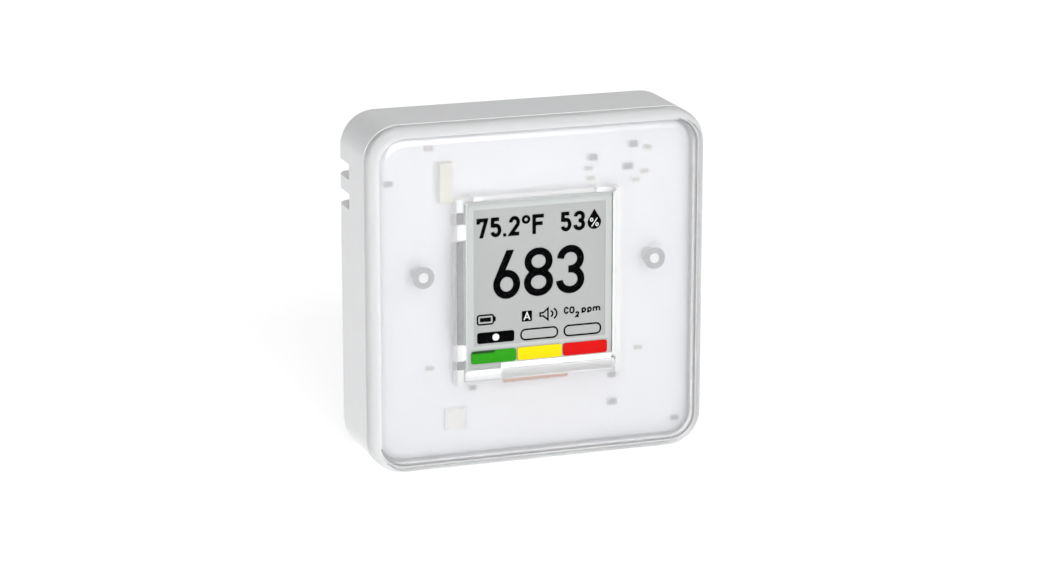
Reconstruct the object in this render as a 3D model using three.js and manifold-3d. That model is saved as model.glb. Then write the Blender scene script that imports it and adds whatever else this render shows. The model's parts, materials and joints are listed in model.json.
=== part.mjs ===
// A desk and wall air quality monitor: a square two-shell case with an e-paper display behind
// a clear window, a carbon dioxide sensor, two AA cells and a snap-off rear cover.
// Millimetres. +X is to the right seen from the front, +Y runs from front to back, +Z is up.
// The origin is under the middle of the case, on the surface that it stands on.

import * as THREE from 'three';
import { mergeVertices } from 'three/addons/utils/BufferGeometryUtils.js';
import Module from 'manifold-3d';

const wasm = await Module();
wasm.setup();

// ---------------------------------------------------------------- driving dimensions

const SIZE = 70;                    // width and height of the case
const DEPTH = 24;
const WALL = 2;
const CORNER_R = 7.15;              // the four corners, seen from the front
const FRONT_ROUND = 3.8;            // rounded edge around the front face
const REAR_ROUND = 3.5;             // rounded edge around the back
const SEAM_Y = -6.8;                // where the front cover meets the rear housing
const SEAM_GAP = 0.3;
const LIP = 0.9;                    // the housing's lip, which locates the front cover

const HALF = SIZE / 2;
const MID_Z = SIZE / 2;
const FRONT_Y = -DEPTH / 2;
const REAR_Y = DEPTH / 2;
const FIT = 0.12;                   // clearance between pieces that lie against each other

// Display stack, from the window back to the main board
const WINDOW = { width: 31.2, height: 34.0, midZ: 37.4, corner: 0.6, thick: 1.5 };
const PANEL = { width: 31.0, height: 36.4, midZ: 36.1, front: -9.6, thick: 0.9 };
const FILM = { width: 29.2, low: 21.2, high: 54.0, front: -9.98, thick: 0.26 };
const BARS = { width: 9.3, height: 2.6, pitch: 9.6, low: 21.4, front: -10.4, thick: 0.2 };
const CHIP = { width: 11.4, low: 19.3, high: 20.3, front: -9.84, thick: 0.12 };
const TAPE = { left: -8.0, right: 15.3, low: 18.0, high: 21.1, front: -9.96, thick: 0.06 };
const FLEX = { width: 13, midX: -0.6, thick: 0.14, bendZ: 18.2, front: -9.78, back: -7.2 };
const FLEX_SOCKET = { width: 16, low: 22.6, high: 25.4, front: -7.9 };
const HOLDER = { inside: 15.9, wall: 1.3, low: 17.2, high: 55.0, floorLow: 26.4, clip: 0.18 };

// Main board and the screws that clamp it between the two shells
const BOARD = { half: 32.6, corner: 4.8, front: -6.5, thick: 1.2 };
const BOARD_BACK = BOARD.front + BOARD.thick;
const SCREW = { x: 24.1, z: 40, shankR: 0.9, headR: 2, tip: -9.4 };
const BOSS = { outerR: 2.2, pilotR: 1.05 };

// Rear housing: a web behind the cells, a deck behind the sensor end
const WEB = { front: -5.0, back: -4.2, top: 44 };
const DECK = { front: -1.7, back: -0.9 };
const POST_R = 3.2;
const POST_BACK = -2.6;
const REAR_OPENING = { half: 31.3, corner: 3.7, ledge: 9.4 };
const VENT = { height: 3.2, front: 3.0, reach: 4, levels: [52.95, 58.95] };

// Cells and their bay
const CELL = { radius: 7.1, length: 50.2, nubR: 2.75, nub: 1.1, y: 3.2, lowZ: 10.8, highZ: 26.4 };
const BAY = { halfX: 28.2, wall: 1.2, top: 33.9, back: 9.9 };
const CONTACT = { thick: 0.4, front: -1.6, back: 8.2, height: 9.6 };
const SPRING = { wire: 0.32, bigR: 4.4, smallR: 2.4, turns: 3.5 };

// Sensor end, on the back of the main board
const CO2 = { z: 55.2, boardW: 33.5, boardH: 19.7, chamberW: 25, chamberH: 15.4, back: 5.6 };
const BUZZER = { x: -25, z: 50.6, radius: 5, back: -2.1 };
const BUTTON = { x: -25, z: 61.2, side: 4.2, capR: 1.1, travel: 0.5 };
const SWITCHES = { x: 24.6, levels: [47.6, 52.2, 56.8], width: 7, height: 3, travel: 2 };
const RADIO = { x: 25.2, z: 62.8, width: 10.5, height: 6.6, back: -3.2 };

// Rear cover
const COVER = { half: 31.0, corner: 3.4, thick: 1.3 };
const KEYHOLE = { x: 0, z: 52, headR: 4.4, shankR: 2.1, rise: 7 };
const LABEL = { width: 40, height: 20, z: 22, thick: 0.2 };
const COVER_TAB = { width: 8, thick: 1, depth: 2.4, reach: 30.9 };

// ---------------------------------------------------------------- materials

function material(color, roughness, metalness = 0, opacity = 1) {
  return new THREE.MeshStandardMaterial({
    color, roughness, metalness, opacity, transparent: opacity < 1,
  });
}

const frosted = () => material(0xf1f3f5, 0.55, 0, 0.6);
const whitePlastic = () => material(0xe2e4e6, 0.5);
const holderPlastic = () => material(0xf4f4f2, 0.5);
const blackPlastic = () => material(0x1b1c1e, 0.45);
const clear = () => material(0xfbfcfd, 0.05, 0, 0.2);
const nickel = () => material(0xb9bbbd, 0.35, 1);
const steel = () => material(0x8f9296, 0.4, 1);
const ink = (color) => material(color, 0.6);

// ---------------------------------------------------------------- outlines

function roundedRect(width, height, radius, midX = 0, midZ = 0) {
  const shape = new THREE.Shape();
  const right = midX + width / 2 - radius;
  const left = midX - width / 2 + radius;
  const top = midZ + height / 2 - radius;
  const bottom = midZ - height / 2 + radius;
  shape.absarc(right, top, radius, 0, Math.PI / 2);
  shape.absarc(left, top, radius, Math.PI / 2, Math.PI);
  shape.absarc(left, bottom, radius, Math.PI, 1.5 * Math.PI);
  shape.absarc(right, bottom, radius, 1.5 * Math.PI, 2 * Math.PI);
  return shape;
}

const squareOutline = (half, radius) => roundedRect(2 * half, 2 * half, radius, 0, MID_Z);

function disc(x, z, radius) {
  const shape = new THREE.Shape();
  shape.absarc(x, z, radius, 0, 2 * Math.PI);
  return shape;
}

// ---------------------------------------------------------------- solids

// Extrudes an outline drawn in X and Z between two depths. A round, if given, shapes both ends.
function slab(shape, front, back, round = 0, curveSegments = 5) {
  const geometry = new THREE.ExtrudeGeometry(shape, {
    depth: back - front - 2 * round,
    curveSegments,
    bevelEnabled: round > 0,
    bevelThickness: round,
    bevelSize: round,
    bevelOffset: -round,
    bevelSegments: 5,
  });
  return geometry.rotateX(Math.PI / 2).translate(0, back - round, 0);
}

function block(left, right, front, back, low, high) {
  return new THREE.BoxGeometry(right - left, back - front, high - low)
    .translate((left + right) / 2, (front + back) / 2, (low + high) / 2);
}

function rod(x, z, radius, front, back, sides = 20) {
  return new THREE.CylinderGeometry(radius, radius, back - front, sides)
    .translate(x, (front + back) / 2, z);
}

function solid(geometry) {
  const bare = geometry.clone();
  bare.deleteAttribute('normal');
  bare.deleteAttribute('uv');
  const merged = mergeVertices(bare, 1e-5);
  return new wasm.Manifold(new wasm.Mesh({
    numProp: 3,
    vertProperties: new Float32Array(merged.attributes.position.array),
    triVerts: new Uint32Array(merged.index.array),
  }));
}

function union(geometries) {
  return geometries.map(solid).reduce((whole, piece) => whole.add(piece));
}

function cut(whole, geometries) {
  return geometries.map(solid).reduce((rest, piece) => rest.subtract(piece), whole);
}

function toGeometry(manifold) {
  const { vertProperties, triVerts } = manifold.getMesh();
  const geometry = new THREE.BufferGeometry();
  geometry.setAttribute('position', new THREE.BufferAttribute(vertProperties, 3));
  geometry.setIndex(new THREE.BufferAttribute(triVerts, 1));
  geometry.computeVertexNormals();
  return geometry;
}

const group = new THREE.Group();

function part(name, geometry, look) {
  const mesh = new THREE.Mesh(geometry, look);
  mesh.name = name;
  group.add(mesh);
}

// ---------------------------------------------------------------- the two shells

function frontCover() {
  const seam = SEAM_Y - SEAM_GAP / 2;
  const outer = solid(slab(squareOutline(HALF, CORNER_R), FRONT_Y, REAR_Y, FRONT_ROUND));
  const inner = slab(squareOutline(HALF - WALL, CORNER_R - WALL), FRONT_Y + WALL, REAR_Y,
    FRONT_ROUND - WALL);
  const rebateHalf = HALF - WALL + LIP + SEAM_GAP;
  const rebate = slab(squareOutline(rebateHalf, CORNER_R - HALF + rebateHalf), SEAM_Y - 1.2, 0);
  const opening = slab(
    roundedRect(WINDOW.width, WINDOW.height, WINDOW.corner, 0, WINDOW.midZ), FRONT_Y - 1, 0);
  const behindSeam = block(-SIZE, SIZE, seam, SIZE, -SIZE, 2 * SIZE);
  let shell = cut(outer, [inner, rebate, opening, behindSeam]);
  for (const side of [-1, 1]) {
    const x = side * SCREW.x;
    shell = shell.add(solid(rod(x, SCREW.z, BOSS.outerR, FRONT_Y + 1, BOARD.front - 0.3)));
    shell = shell.subtract(solid(rod(x, SCREW.z, BOSS.pilotR, FRONT_Y + WALL + 0.2, 0)));
  }
  return shell;
}

function rearHousing() {
  const seam = SEAM_Y + SEAM_GAP / 2;
  const insideHalf = HALF - WALL;
  const insideR = CORNER_R - WALL;
  const aheadOfSeam = block(-SIZE, SIZE, -SIZE, seam, -SIZE, 2 * SIZE);
  const ring = cut(
    solid(slab(squareOutline(HALF, CORNER_R), 2 * FRONT_Y, REAR_Y, REAR_ROUND)),
    [
      aheadOfSeam,
      slab(squareOutline(insideHalf, insideR), FRONT_Y, REAR_OPENING.ledge),
      slab(squareOutline(REAR_OPENING.half, REAR_OPENING.corner), 0, REAR_Y + 1),
    ]);
  const lip = cut(
    solid(slab(squareOutline(insideHalf + LIP, insideR + LIP), seam - 0.9, seam + 0.5)),
    [slab(squareOutline(insideHalf, insideR), FRONT_Y, 0)]);
  const plates = union([
    slab(roundedRect(2 * insideHalf + 1, 44, insideR, 0, 22.8), WEB.front, WEB.back),
    slab(roundedRect(2 * insideHalf + 1, 25.4, insideR, 0, 56), DECK.front, DECK.back),
    block(-insideHalf - 0.5, insideHalf + 0.5, WEB.front, DECK.back, WEB.top, WEB.top + 0.8),
  ]);
  const bay = [
    block(-BAY.halfX - BAY.wall, -BAY.halfX, WEB.front, BAY.back, 1, BAY.top + BAY.wall),
    block(BAY.halfX, BAY.halfX + BAY.wall, WEB.front, BAY.back, 1, BAY.top + BAY.wall),
    block(-BAY.halfX, BAY.halfX, WEB.front, BAY.back, BAY.top, BAY.top + BAY.wall),
    block(-24, 24, WEB.front, -0.8, 18.2, 19.0),
  ];
  const posts = [-1, 1].map((side) => rod(side * SCREW.x, SCREW.z, POST_R, WEB.front, POST_BACK));
  let housing = ring.add(lip).add(plates).add(union([...bay, ...posts]));

  housing = cut(housing, [-1, 1].map((side) => rod(side * SCREW.x, SCREW.z, 1.3, -8, 0)));
  const sensorWindow = block(-CO2.boardW / 2 - 0.7, CO2.boardW / 2 + 0.7, -8, 0,
    CO2.z - CO2.boardH / 2 - 0.6, CO2.z + CO2.boardH / 2 + 0.6);
  const slots = SWITCHES.levels.map((z) => block(
    SWITCHES.x - 2.3, SWITCHES.x + 2.3, DECK.front - 1, DECK.back + 1, z - 1, z + 1));
  const buttonHole = rod(BUTTON.x, BUTTON.z, BUTTON.capR + 0.3, DECK.front - 1, DECK.back + 1);
  const buzzerHole = rod(BUZZER.x, BUZZER.z, 1.2, DECK.front - 1, DECK.back + 1);
  const vents = VENT.levels.flatMap((z) => [-1, 1].map((side) => {
    const outside = side * (HALF + 1);
    const inside = side * (HALF - VENT.reach);
    return block(Math.min(outside, inside), Math.max(outside, inside), VENT.front, REAR_Y + 1,
      z - VENT.height / 2, z + VENT.height / 2);
  }));
  return cut(housing, [sensorWindow, ...slots, buttonHole, buzzerHole, ...vents]);
}

part('front_cover', toGeometry(frontCover()), frosted());
part('rear_housing', toGeometry(rearHousing()), whitePlastic());

// ---------------------------------------------------------------- window and display

part('display_window', slab(
  roundedRect(WINDOW.width - 2 * FIT, WINDOW.height - 2 * FIT, WINDOW.corner, 0, WINDOW.midZ),
  FRONT_Y, FRONT_Y + WINDOW.thick, 0, 3), clear());

const BAR_COLORS = { green: 0x32aa20, yellow: 0xfeef00, red: 0xeb1717 };
Object.entries(BAR_COLORS).forEach(([name, color], index) => {
  const shape = roundedRect(
    BARS.width, BARS.height, 0.5, (index - 1) * BARS.pitch, BARS.low + BARS.height / 2);
  part(`status_bar_${name}`, slab(shape, BARS.front, BARS.front + BARS.thick, 0, 2), ink(color));
});

part('epaper_film', block(-FILM.width / 2, FILM.width / 2, FILM.front, FILM.front + FILM.thick,
  FILM.low, FILM.high), ink(0xc4c6c6));
part('epaper_glass', block(-PANEL.width / 2, PANEL.width / 2, PANEL.front,
  PANEL.front + PANEL.thick, PANEL.midZ - PANEL.height / 2, PANEL.midZ + PANEL.height / 2),
material(0xccd0cf, 0.15));
part('display_driver_chip', block(-CHIP.width / 2, CHIP.width / 2, CHIP.front,
  CHIP.front + CHIP.thick, CHIP.low, CHIP.high), blackPlastic());
part('display_tape', block(TAPE.left, TAPE.right, TAPE.front, TAPE.front + TAPE.thick,
  TAPE.low, TAPE.high), ink(0xf6f6f4));

// The flat flex leaves the panel's lower edge and turns back behind it in a half circle.
function displayFlex() {
  const midY = (FLEX.front + FLEX.back) / 2;
  const bendR = (FLEX.back - FLEX.front) / 2;
  const inner = bendR - FLEX.thick / 2;
  const outer = bendR + FLEX.thick / 2;
  const shape = new THREE.Shape();
  shape.moveTo(midY - outer, 19.1);
  shape.lineTo(midY - outer, FLEX.bendZ);
  shape.absarc(midY, FLEX.bendZ, outer, Math.PI, 2 * Math.PI);
  shape.lineTo(midY + outer, 22.3);
  shape.lineTo(midY + inner, 22.3);
  shape.lineTo(midY + inner, FLEX.bendZ);
  shape.absarc(midY, FLEX.bendZ, inner, 2 * Math.PI, Math.PI, true);
  shape.lineTo(midY - inner, 19.1);
  shape.closePath();
  const geometry = new THREE.ExtrudeGeometry(shape, {
    depth: FLEX.width, curveSegments: 5, bevelEnabled: false,
  });
  // The outline is drawn in Y and Z: turn it so that it is extruded along X.
  const turn = new THREE.Matrix4().makeBasis(
    new THREE.Vector3(0, 1, 0), new THREE.Vector3(0, 0, 1), new THREE.Vector3(1, 0, 0));
  return geometry.applyMatrix4(turn).translate(FLEX.midX - FLEX.width / 2, 0, 0);
}

part('display_flex', displayFlex(), material(0xc9702e, 0.4));
part('flex_socket', block(FLEX.midX - FLEX_SOCKET.width / 2, FLEX.midX + FLEX_SOCKET.width / 2,
  FLEX_SOCKET.front, BOARD.front - FIT, FLEX_SOCKET.low, FLEX_SOCKET.high), blackPlastic());

// A tray with side walls, and clips that hold the panel by its edges.
function displayHolder() {
  const inside = HOLDER.inside;
  const outside = inside + HOLDER.wall;
  const back = BOARD.front - FIT;
  const floorFront = PANEL.front + PANEL.thick + FIT;
  const clipBack = PANEL.front - FIT;
  const pieces = [block(-outside, outside, floorFront, floorFront + 0.7, HOLDER.floorLow, HOLDER.high)];
  for (const side of [-1, 1]) {
    const near = side * inside;
    const far = side * outside;
    const low = Math.min(near, far);
    const high = Math.max(near, far);
    pieces.push(block(low, high, clipBack, back, HOLDER.low, HOLDER.high));
    for (const z of [24, 48.4]) {
      const grip = side * (PANEL.width / 2 - 0.3);
      pieces.push(block(Math.min(grip, far), Math.max(grip, far), clipBack - HOLDER.clip, clipBack,
        z - 1.5, z + 1.5));
    }
    const topClip = side * 12.8;
    pieces.push(block(topClip - 1, topClip + 1, clipBack - HOLDER.clip, back, HOLDER.high - 0.55,
      HOLDER.high + 0.4));
    pieces.push(block(side * 14 - 1, side * 14 + 1, floorFront, back, 30, 32));
    pieces.push(block(side * 14 - 1, side * 14 + 1, floorFront, back, 50, 52));
  }
  return union(pieces);
}

part('display_holder', toGeometry(displayHolder()), holderPlastic());

// ---------------------------------------------------------------- main board, front side

function mainBoard() {
  const plate = solid(slab(squareOutline(BOARD.half, BOARD.corner), BOARD.front, BOARD_BACK, 0, 3));
  return cut(plate, [-1, 1].map((side) => rod(side * SCREW.x, SCREW.z, 1.4, -8, 0)));
}

part('main_board', toGeometry(mainBoard()), material(0xf2f4f6, 0.5));
part('storage_capacitor', block(-20.2, -17.4, -8.4, BOARD.front - FIT, 54.2, 62.2),
  material(0xd9a63c, 0.5));

// ---------------------------------------------------------------- main board, back side

const ON_BOARD = BOARD_BACK + FIT;

function onBoard(x, z, width, height, back) {
  return block(x - width / 2, x + width / 2, ON_BOARD, back, z - height / 2, z + height / 2);
}

part('radio_module', onBoard(RADIO.x, RADIO.z, RADIO.width, RADIO.height, RADIO.back), nickel());
part('radio_antenna', onBoard(15.2, 66.6, 7, 1.4, -4.0), material(0xf0efe9, 0.4));
part('power_inductor', onBoard(-19.6, 63.6, 3.6, 3.6, -3.4), material(0x35363a, 0.6));
part('humidity_sensor', onBoard(-30.2, 55.95, 2.5, 2.5, -4.2), blackPlastic());
part('buzzer', rod(BUZZER.x, BUZZER.z, BUZZER.radius, ON_BOARD, BUZZER.back, 28), blackPlastic());

const sensorBoardBack = -3.1;
const sensorBoardFront = -4.1;
part('co2_sensor_board', block(-CO2.boardW / 2, CO2.boardW / 2, sensorBoardFront,
  sensorBoardBack, CO2.z - CO2.boardH / 2, CO2.z + CO2.boardH / 2), material(0x2f6b45, 0.5));

function opticalChamber() {
  const body = solid(slab(roundedRect(CO2.chamberW, CO2.chamberH, 2, 0, CO2.z),
    sensorBoardBack + FIT, CO2.back, 0, 3));
  const well = slab(roundedRect(13, 11, 1, 4, CO2.z), CO2.back - 1.2, CO2.back + 1, 0, 2);
  return cut(body, [well]);
}

part('co2_optical_chamber', toGeometry(opticalChamber()), whitePlastic());
part('co2_dust_filter', slab(roundedRect(12.4, 10.4, 0.8, 4, CO2.z), CO2.back - 1,
  CO2.back - 0.3, 0, 2), material(0xfafafa, 0.9));
for (const [name, side] of [['left', -1], ['right', 1]]) {
  const x = side * (CO2.boardW / 2 - 1.6);
  part(`co2_header_${name}`, block(x - 1, x + 1, ON_BOARD, sensorBoardFront - FIT,
    CO2.z - 6.5, CO2.z + 6.5), blackPlastic());
}

SWITCHES.levels.forEach((z, index) => {
  const name = ['unit', 'buzzer', 'calibration'][index];
  const bodyBack = -2.5;
  const body = solid(onBoard(SWITCHES.x, z, SWITCHES.width, SWITCHES.height, bodyBack));
  const track = block(SWITCHES.x - 2.1, SWITCHES.x + 2.1, bodyBack - 0.9, bodyBack + 1,
    z - 0.8, z + 0.8);
  part(`switch_body_${name}`, toGeometry(cut(body, [track])), nickel());
  const start = SWITCHES.x - SWITCHES.travel / 2 - 0.8;
  part(`switch_slider_${name}`, block(start, start + 1.6, bodyBack - 0.7, -0.1, z - 0.6, z + 0.6),
    blackPlastic());
});

const buttonBack = -2.6;
const buttonWell = rod(BUTTON.x, BUTTON.z, BUTTON.capR + 0.2, buttonBack - 1.6, buttonBack + 1);
part('button_body', toGeometry(cut(
  solid(onBoard(BUTTON.x, BUTTON.z, BUTTON.side, BUTTON.side, buttonBack)), [buttonWell])), nickel());
part('button_cap', rod(BUTTON.x, BUTTON.z, BUTTON.capR, buttonBack - 0.8, 0.1), blackPlastic());

// ---------------------------------------------------------------- case screws

// One profile turned about the screw's own axis, with a shallow recess in its head.
function caseScrew(side) {
  const headFront = POST_BACK + FIT;
  const profile = [
    [0, SCREW.tip], [0.35, SCREW.tip], [SCREW.shankR, SCREW.tip + 1], [SCREW.shankR, headFront],
    [SCREW.headR, headFront], [SCREW.headR, headFront + 0.8], [SCREW.headR - 0.5, headFront + 1.3],
    [0.7, headFront + 1.4], [0.5, headFront + 0.8], [0, headFront + 0.8],
  ];
  const points = profile.map(([radius, y]) => new THREE.Vector2(radius, y));
  return new THREE.LatheGeometry(points, 20).translate(side * SCREW.x, 0, SCREW.z);
}

part('case_screw_left', caseScrew(-1), steel());
part('case_screw_right', caseScrew(1), steel());

// ---------------------------------------------------------------- cells and contacts

// The can, its crimped ends and the nub, standing on the negative end along +Y.
function cell(side, z) {
  const { radius, length, nubR, nub } = CELL;
  const profile = [
    [0, 0], [radius - 0.7, 0], [radius, 0.5], [radius, length - nub - 0.9],
    [radius - 0.5, length - nub - 0.3], [radius - 1.3, length - nub - 0.3],
    [radius - 1.5, length - nub], [nubR + 0.3, length - nub], [nubR, length - nub + 0.3],
    [nubR, length - 0.2], [nubR - 0.3, length], [0, length],
  ];
  const points = profile.map(([r, y]) => new THREE.Vector2(r, y));
  const nubTip = BAY.halfX - 0.2 - CONTACT.thick - 0.2;
  return new THREE.LatheGeometry(points, 28)
    .translate(0, nubTip - length, 0)
    .rotateZ(-side * Math.PI / 2)
    .translate(0, CELL.y, z);
}

part('battery_cell_upper', cell(1, CELL.highZ), material(0x2f3b46, 0.35));
part('battery_cell_lower', cell(-1, CELL.lowZ), material(0x2f3b46, 0.35));

class CoilCurve extends THREE.Curve {
  getPoint(t) {
    const angle = t * SPRING.turns * 2 * Math.PI;
    const radius = SPRING.bigR + (SPRING.smallR - SPRING.bigR) * t;
    return new THREE.Vector3(
      t * this.height, radius * Math.cos(angle), radius * Math.sin(angle));
  }
}

function contactSpring(side, z) {
  const plateFace = BAY.halfX - 0.2 - CONTACT.thick;
  const cellEnd = CELL.length - (plateFace - 0.2);
  const curve = new CoilCurve();
  curve.height = plateFace - cellEnd - 2 * SPRING.wire - 2 * FIT;
  const geometry = new THREE.ExtrudeGeometry(disc(0, 0, SPRING.wire), {
    steps: 56, curveSegments: 4, extrudePath: curve, bevelEnabled: false,
  });
  geometry.translate(-plateFace + SPRING.wire + FIT, 0, 0);
  return geometry.rotateZ(side > 0 ? 0 : Math.PI).translate(0, CELL.y, z);
}

part('contact_spring_upper', contactSpring(1, CELL.highZ), nickel());
part('contact_spring_lower', contactSpring(-1, CELL.lowZ), nickel());

function contactPlate(side, low, high) {
  const near = side * (BAY.halfX - 0.2 - CONTACT.thick);
  const far = side * (BAY.halfX - 0.2);
  return block(Math.min(near, far), Math.max(near, far), CONTACT.front, CONTACT.back, low, high);
}

const halfPlate = CONTACT.height / 2;
part('contact_bridge', contactPlate(-1, CELL.lowZ - halfPlate, CELL.highZ + halfPlate), nickel());
part('contact_plate_upper', contactPlate(1, CELL.highZ - halfPlate, CELL.highZ + halfPlate),
  nickel());
part('contact_plate_lower', contactPlate(1, CELL.lowZ - halfPlate, CELL.lowZ + halfPlate),
  nickel());

// ---------------------------------------------------------------- rear cover

function rearCover() {
  const inside = REAR_Y - COVER.thick;
  const plate = slab(squareOutline(COVER.half, COVER.corner), inside, REAR_Y);
  const tabs = [-1, 1].flatMap((side) => [20, 48].map((z) => {
    const near = side * (COVER_TAB.reach - COVER_TAB.thick);
    const far = side * COVER_TAB.reach;
    return block(Math.min(near, far), Math.max(near, far), inside - COVER_TAB.depth, inside + 0.2,
      z - COVER_TAB.width / 2, z + COVER_TAB.width / 2);
  }));
  const past = REAR_Y + 1;
  const cuts = [
    rod(KEYHOLE.x, KEYHOLE.z, KEYHOLE.headR, inside - 1, past, 28),
    rod(KEYHOLE.x, KEYHOLE.z + KEYHOLE.rise, KEYHOLE.shankR, inside - 1, past, 20),
    block(KEYHOLE.x - KEYHOLE.shankR, KEYHOLE.x + KEYHOLE.shankR, inside - 1, past, KEYHOLE.z,
      KEYHOLE.z + KEYHOLE.rise),
    rod(0, MID_Z - COVER.half - 4.2, 7, inside - 1, past, 40),
    block(-LABEL.width / 2 - 0.2, LABEL.width / 2 + 0.2, REAR_Y - LABEL.thick - 0.15, past,
      LABEL.z - LABEL.height / 2 - 0.2, LABEL.z + LABEL.height / 2 + 0.2),
  ];
  for (const side of [-1, 1]) {
    for (let row = 0; row < 4; row += 1) {
      const z = 45 + row * 4;
      cuts.push(slab(roundedRect(10, 1.6, 0.75, side * 18, z), inside - 1, past, 0, 2));
    }
  }
  return cut(union([plate, ...tabs]), cuts);
}

part('rear_cover', toGeometry(rearCover()), whitePlastic());
part('rear_label', slab(
  roundedRect(LABEL.width, LABEL.height, 1.2, 0, LABEL.z), REAR_Y - LABEL.thick, REAR_Y, 0, 2),
material(0xf7f7f5, 0.7));

export default group;
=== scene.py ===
"""The looks of an air quality monitor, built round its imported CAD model.

A frosted front cover over a white board, an e-paper display behind a clear pane, a white
housing with two AA cells and a snap-off rear cover. Sizes in the code are in millimetres, in
the CAD's own frame: +X right, +Y back, +Z up.
"""

import json
import math

import bmesh
import bpy
from bpy.props import FloatProperty, FloatVectorProperty, PointerProperty
from mathutils import Matrix, Vector

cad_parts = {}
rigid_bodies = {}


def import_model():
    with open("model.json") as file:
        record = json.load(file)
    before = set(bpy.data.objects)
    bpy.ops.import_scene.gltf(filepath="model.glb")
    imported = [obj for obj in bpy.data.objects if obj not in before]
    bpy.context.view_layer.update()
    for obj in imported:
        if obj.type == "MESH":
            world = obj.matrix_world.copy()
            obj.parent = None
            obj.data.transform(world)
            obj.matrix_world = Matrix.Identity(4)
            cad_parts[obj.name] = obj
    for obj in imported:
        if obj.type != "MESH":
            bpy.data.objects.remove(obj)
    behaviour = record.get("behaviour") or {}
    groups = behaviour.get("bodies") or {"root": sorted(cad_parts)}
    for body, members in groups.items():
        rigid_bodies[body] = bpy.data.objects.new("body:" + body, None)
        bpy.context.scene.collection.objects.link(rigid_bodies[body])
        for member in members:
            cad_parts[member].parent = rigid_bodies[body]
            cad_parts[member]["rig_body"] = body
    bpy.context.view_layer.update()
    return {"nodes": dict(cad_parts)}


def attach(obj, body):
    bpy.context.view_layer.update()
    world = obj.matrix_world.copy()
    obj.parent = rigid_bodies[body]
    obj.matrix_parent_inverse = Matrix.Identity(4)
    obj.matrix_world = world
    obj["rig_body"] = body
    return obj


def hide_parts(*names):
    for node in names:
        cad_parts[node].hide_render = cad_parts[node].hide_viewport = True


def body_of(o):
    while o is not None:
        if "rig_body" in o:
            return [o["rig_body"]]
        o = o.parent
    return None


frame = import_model()

bl_info = {
    "name": "Air quality monitor",
    "version": (1, 0, 0),
    "blender": (4, 5, 0),
    "location": "3D View > Sidebar > Monitor",
    "description": "Builds a frosted air quality monitor with its display, board, cells and stage",
    "category": "Object",
}

MM = 0.001
NEAR = 1e-4
COLOUR_A, COLOUR_B, MIXED_COLOUR = 6, 7, 2  # the Mix node's colour sockets

HALF = 35.0
MID_Z = 35.0
FRONT_Y = -12.0
REAR_Y = 12.0
WALL = 2.0
INK_Y = -10.0
BOARD_FRONT = -6.5
INSIDE = 2 * (HALF - WALL)
COVER_SEAM = -6.78  # the front cover's rear edge
HOUSING_SEAM = -6.74  # the rear housing's front edge
COVER_INSET = 0.06  # the front cover stands back this far from the housing's sides
UPPER_Z = 64.5  # the top side and most of the upper corners lie above this
WINDOW_MID = (0, 37.4)
WINDOW_SIZE = (31.2, 34.0)
SIDES = (("left", -1), ("right", 1))
BOSS_X = 24.1
BOSS_Z = 40.0
SCREW_HOLE = 1.3  # radius
VENTS_Z = (52.95, 58.95)
THROUGH = 20  # how far from the middle a cutter reaches

# The lighter milky finish on the cover's walls, partly the deeper look along the wall and partly
# painted light, covers the faces whose normal points forward less than SIDE_TURN. Above the
# diagonal that is SIDE_SHIFT more, below it as much less, with the change over SIDE_WAY: the upper
# left walls are painted lighter, the lower right ones stay greyer.
SIDE_TURN = 0.73
SIDE_SHIFT = 0.14
SIDE_WAY = 6.5


def linear(code):
    """An sRGB hex colour as linear red, green and blue."""
    parts = [int(code[i:i + 2], 16) / 255 for i in (1, 3, 5)]
    return tuple(c / 12.92 if c <= 0.04045 else ((c + 0.055) / 1.055) ** 2.4 for c in parts)


def colour_property(name, code, description):
    """A colour that a user can change, with an sRGB hex default."""
    return FloatVectorProperty(
        name=name, description=description, subtype="COLOR", size=3, min=0, max=1,
        default=linear(code))


def length_property(name, millimetres, description):
    """A length that a user can change, with its default given in millimetres."""
    return FloatProperty(
        name=name, description=description, default=millimetres * MM, min=0, unit="LENGTH",
        precision=5)


class MonitorSizes(bpy.types.PropertyGroup):
    """Sizes of the rounded edges, seams and printed lines."""

    corner: length_property("Corner radius", 7.15, "Radius of the corners seen from the front")
    front_round: length_property("Front round", 3.8, "Round between the front face and the sides")
    rear_round: length_property("Rear round", 3.5, "Round between the back and the sides")
    seam_chamfer: length_property("Seam chamfer", 0.85, "Chamfer of the housing's upper edge")
    edge_break: length_property("Edge break", 0.12, "Small round that moulding leaves on edges")
    big_stroke: length_property("Large digit stroke", 1.48, "Stroke width of the large digits")
    small_stroke: length_property("Small digit stroke", 0.78, "Stroke width of the small digits")
    fine_stroke: length_property("Icon stroke", 0.34, "Stroke width of icons and frames")


class MonitorColours(bpy.types.PropertyGroup):
    """Colours of the main finishes."""

    shell: colour_property("Housing", "#E8E9EA", "White ABS of the rear housing and cover")
    frost: colour_property("Front cover", "#FEFEFF", "Frosted polycarbonate of the front cover")
    board: colour_property("Board", "#F4F5F8", "White solder mask of the main board")
    paper: colour_property("Display", "#A2A4A3", "Unlit grey of the e-paper")
    ink: colour_property("Ink", "#050506", "Black of the e-paper's digits")
    good: colour_property("Green bar", "#27920F", "Low level colour bar")
    fair: colour_property("Yellow bar", "#E6CC00", "Middle level colour bar")
    poor: colour_property("Red bar", "#CB0505", "High level colour bar")


# ---------------------------------------------------------------- materials


SOCKETS = {
    "metallic": "Metallic", "ior": "IOR", "transmission": "Transmission Weight", "alpha": "Alpha",
    "subsurface": "Subsurface Weight", "scatter": "Subsurface Scale", "coat": "Coat Weight",
    "specular": "Specular IOR Level",
}


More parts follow.
